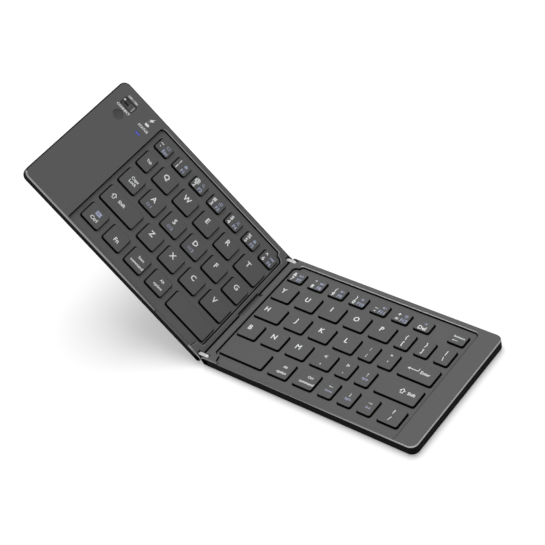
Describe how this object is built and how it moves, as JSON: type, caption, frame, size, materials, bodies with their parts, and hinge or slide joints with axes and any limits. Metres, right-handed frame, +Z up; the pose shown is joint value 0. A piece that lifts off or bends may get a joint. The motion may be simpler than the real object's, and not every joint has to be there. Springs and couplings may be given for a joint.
{
  "type": "folding keyboard",
  "caption": "Two-piece folding travel keyboard with low scissor keys, a twin-axis hinge, a slide switch, a pairing button and a charging inlet; one half rests flat and the other is raised.",
  "frame": {"origin": "middle of the underside of the right half's foot beside the hinge, on the resting plane", "axes": "+X outward along the right half from the hinge to its outer end, +Y towards the number row, +Z up from the resting plane"},
  "size_m": [0.2731, 0.098, 0.1207],
  "materials": {
    "deck": "matt fine-textured dark grey",
    "shell": "fine black texture",
    "keys": "soft matt dark grey with white printed legends",
    "steel_plate": "zinc-plated sheet",
    "membrane": "printed polyester film",
    "domes": "silicone rubber",
    "scissors": "natural acetal",
    "feet": "black rubber",
    "screws": "bright zinc",
    "magnets": "nickel plate",
    "links": "bright satin",
    "bridge": "matt black",
    "flex": "amber polyimide film",
    "board": "green solder mask",
    "battery": "foil pouch",
    "port": "plated steel",
    "switch_case": "moulded black",
    "tact": "pressed steel",
    "lens": "lit blue light pipe",
    "slider": "mid grey",
    "button": "same grey as the deck"
  },
  "bodies": {
    "right_half": {"right_deck": "deck", "right_shell": "shell", "right_key_plate": "steel_plate", "right_membrane": "membrane", "right_domes": "domes", "right_scissors": "scissors", "right_feet": "feet", "right_screws": "screws", "right_magnets": "magnets", "right_pins": "links"},
    "hinge_link": {"front_link": "links", "back_link": "links", "cable_bridge": "bridge", "flex_cable": "flex"},
    "left_half": {"left_deck": "deck", "left_shell": "shell", "left_key_plate": "steel_plate", "left_membrane": "membrane", "left_domes": "domes", "left_scissors": "scissors", "left_feet": "feet", "left_screws": "screws", "left_magnets": "magnets", "left_pins": "links", "main_board": "board", "battery": "battery", "charge_port": "port", "switch_body": "switch_case", "tact_switch": "tact", "status_lens": "lens"},
    "right_number_keys": {"right_number_keys": "keys"},
    "delete_key": {"delete_key": "keys"},
    "backspace_key": {"backspace_key": "keys"},
    "right_top_keys": {"right_top_keys": "keys"},
    "right_home_keys": {"right_home_keys": "keys"},
    "enter_key": {"enter_key": "keys"},
    "right_bottom_keys": {"right_bottom_keys": "keys"},
    "arrow_up_key": {"arrow_up_key": "keys"},
    "right_shift_key": {"right_shift_key": "keys"},
    "right_space_key": {"right_space_key": "keys"},
    "right_alt_key": {"right_alt_key": "keys"},
    "right_ctrl_key": {"right_ctrl_key": "keys"},
    "arrow_left_key": {"arrow_left_key": "keys"},
    "arrow_down_key": {"arrow_down_key": "keys"},
    "arrow_right_key": {"arrow_right_key": "keys"},
    "escape_key": {"escape_key": "keys"},
    "left_number_keys": {"left_number_keys": "keys"},
    "tab_key": {"tab_key": "keys"},
    "left_top_keys": {"left_top_keys": "keys"},
    "caps_lock_key": {"caps_lock_key": "keys"},
    "left_home_keys": {"left_home_keys": "keys"},
    "left_shift_key": {"left_shift_key": "keys"},
    "left_bottom_keys": {"left_bottom_keys": "keys"},
    "left_ctrl_key": {"left_ctrl_key": "keys"},
    "fn_key": {"fn_key": "keys"},
    "start_key": {"start_key": "keys"},
    "left_alt_key": {"left_alt_key": "keys"},
    "left_space_key": {"left_space_key": "keys"},
    "power_slider": {"power_slider": "slider"},
    "connect_button": {"connect_button": "button"}
  },
  "joints": [
    {"name": "link_turn", "type": "hinge", "parent": "right_half", "child": "hinge_link", "pos_m": [-0.002, 0, 0.005], "axis": [0, 1, 0], "range_deg": [0, 90], "deforming": ["flex_cable"]},
    {"name": "left_fold", "type": "hinge", "parent": "hinge_link", "child": "left_half", "pos_m": [-0.008, 0, 0.005], "axis": [0, 1, 0], "range_deg": [-46.6, 43.4]},
    {"name": "right_number_press", "type": "slide", "parent": "right_half", "child": "right_number_keys", "axis": [0, 0, -1], "range_m": [0, 0.0012], "stiffness_N_per_m": 900, "springref_m": -0.0005, "deforming": ["right_domes", "right_scissors"]},
    {"name": "delete_press", "type": "slide", "parent": "right_half", "child": "delete_key", "axis": [0, 0, -1], "range_m": [0, 0.0012], "stiffness_N_per_m": 400, "springref_m": -0.0005},
    {"name": "backspace_press", "type": "slide", "parent": "right_half", "child": "backspace_key", "axis": [0, 0, -1], "range_m": [0, 0.0012], "stiffness_N_per_m": 400, "springref_m": -0.0005},
    {"name": "right_top_press", "type": "slide", "parent": "right_half", "child": "right_top_keys", "axis": [0, 0, -1], "range_m": [0, 0.0012], "stiffness_N_per_m": 900, "springref_m": -0.0005},
    {"name": "right_home_press", "type": "slide", "parent": "right_half", "child": "right_home_keys", "axis": [0, 0, -1], "range_m": [0, 0.0012], "stiffness_N_per_m": 900, "springref_m": -0.0005},
    {"name": "enter_press", "type": "slide", "parent": "right_half", "child": "enter_key", "axis": [0, 0, -1], "range_m": [0, 0.0012], "stiffness_N_per_m": 400, "springref_m": -0.0005},
    {"name": "right_bottom_press", "type": "slide", "parent": "right_half", "child": "right_bottom_keys", "axis": [0, 0, -1], "range_m": [0, 0.0012], "stiffness_N_per_m": 900, "springref_m": -0.0005},
    {"name": "arrow_up_press", "type": "slide", "parent": "right_half", "child": "arrow_up_key", "axis": [0, 0, -1], "range_m": [0, 0.0012], "stiffness_N_per_m": 400, "springref_m": -0.0005},
    {"name": "right_shift_press", "type": "slide", "parent": "right_half", "child": "right_shift_key", "axis": [0, 0, -1], "range_m": [0, 0.0012], "stiffness_N_per_m": 400, "springref_m": -0.0005},
    {"name": "right_space_press", "type": "slide", "parent": "right_half", "child": "right_space_key", "axis": [0, 0, -1], "range_m": [0, 0.0012], "stiffness_N_per_m": 400, "springref_m": -0.0005},
    {"name": "right_alt_press", "type": "slide", "parent": "right_half", "child": "right_alt_key", "axis": [0, 0, -1], "range_m": [0, 0.0012], "stiffness_N_per_m": 400, "springref_m": -0.0005},
    {"name": "right_ctrl_press", "type": "slide", "parent": "right_half", "child": "right_ctrl_key", "axis": [0, 0, -1], "range_m": [0, 0.0012], "stiffness_N_per_m": 400, "springref_m": -0.0005},
    {"name": "arrow_left_press", "type": "slide", "parent": "right_half", "child": "arrow_left_key", "axis": [0, 0, -1], "range_m": [0, 0.0012], "stiffness_N_per_m": 400, "springref_m": -0.0005},
    {"name": "arrow_down_press", "type": "slide", "parent": "right_half", "child": "arrow_down_key", "axis": [0, 0, -1], "range_m": [0, 0.0012], "stiffness_N_per_m": 400, "springref_m": -0.0005},
    {"name": "arrow_right_press", "type": "slide", "parent": "right_half", "child": "arrow_right_key", "axis": [0, 0, -1], "range_m": [0, 0.0012], "stiffness_N_per_m": 400, "springref_m": -0.0005},
    {"name": "escape_press", "type": "slide", "parent": "left_half", "child": "escape_key", "axis": [-0.7266, 0, -0.6871], "range_m": [0, 0.0012], "stiffness_N_per_m": 400, "springref_m": -0.0005},
    {"name": "left_number_press", "type": "slide", "parent": "left_half", "child": "left_number_keys", "axis": [-0.7266, 0, -0.6871], "range_m": [0, 0.0012], "stiffness_N_per_m": 900, "springref_m": -0.0005, "deforming": ["left_domes", "left_scissors"]},
    {"name": "tab_press", "type": "slide", "parent": "left_half", "child": "tab_key", "axis": [-0.7266, 0, -0.6871], "range_m": [0, 0.0012], "stiffness_N_per_m": 400, "springref_m": -0.0005},
    {"name": "left_top_press", "type": "slide", "parent": "left_half", "child": "left_top_keys", "axis": [-0.7266, 0, -0.6871], "range_m": [0, 0.0012], "stiffness_N_per_m": 900, "springref_m": -0.0005},
    {"name": "caps_lock_press", "type": "slide", "parent": "left_half", "child": "caps_lock_key", "axis": [-0.7266, 0, -0.6871], "range_m": [0, 0.0012], "stiffness_N_per_m": 400, "springref_m": -0.0005},
    {"name": "left_home_press", "type": "slide", "parent": "left_half", "child": "left_home_keys", "axis": [-0.7266, 0, -0.6871], "range_m": [0, 0.0012], "stiffness_N_per_m": 900, "springref_m": -0.0005},
    {"name": "left_shift_press", "type": "slide", "parent": "left_half", "child": "left_shift_key", "axis": [-0.7266, 0, -0.6871], "range_m": [0, 0.0012], "stiffness_N_per_m": 400, "springref_m": -0.0005},
    {"name": "left_bottom_press", "type": "slide", "parent": "left_half", "child": "left_bottom_keys", "axis": [-0.7266, 0, -0.6871], "range_m": [0, 0.0012], "stiffness_N_per_m": 900, "springref_m": -0.0005},
    {"name": "left_ctrl_press", "type": "slide", "parent": "left_half", "child": "left_ctrl_key", "axis": [-0.7266, 0, -0.6871], "range_m": [0, 0.0012], "stiffness_N_per_m": 400, "springref_m": -0.0005},
    {"name": "fn_press", "type": "slide", "parent": "left_half", "child": "fn_key", "axis": [-0.7266, 0, -0.6871], "range_m": [0, 0.0012], "stiffness_N_per_m": 400, "springref_m": -0.0005},
    {"name": "start_press", "type": "slide", "parent": "left_half", "child": "start_key", "axis": [-0.7266, 0, -0.6871], "range_m": [0, 0.0012], "stiffness_N_per_m": 400, "springref_m": -0.0005},
    {"name": "left_alt_press", "type": "slide", "parent": "left_half", "child": "left_alt_key", "axis": [-0.7266, 0, -0.6871], "range_m": [0, 0.0012], "stiffness_N_per_m": 400, "springref_m": -0.0005},
    {"name": "left_space_press", "type": "slide", "parent": "left_half", "child": "left_space_key", "axis": [-0.7266, 0, -0.6871], "range_m": [0, 0.0012], "stiffness_N_per_m": 400, "springref_m": -0.0005},
    {"name": "connect_press", "type": "slide", "parent": "left_half", "child": "connect_button", "axis": [-0.7266, 0, -0.6871], "range_m": [0, 0.00025], "stiffness_N_per_m": 1500, "springref_m": -0.0002},
    {"name": "power_slide", "type": "slide", "parent": "left_half", "child": "power_slider", "axis": [-0.6871, 0, 0.7266], "range_m": [0, 0.0048]}
  ]
}
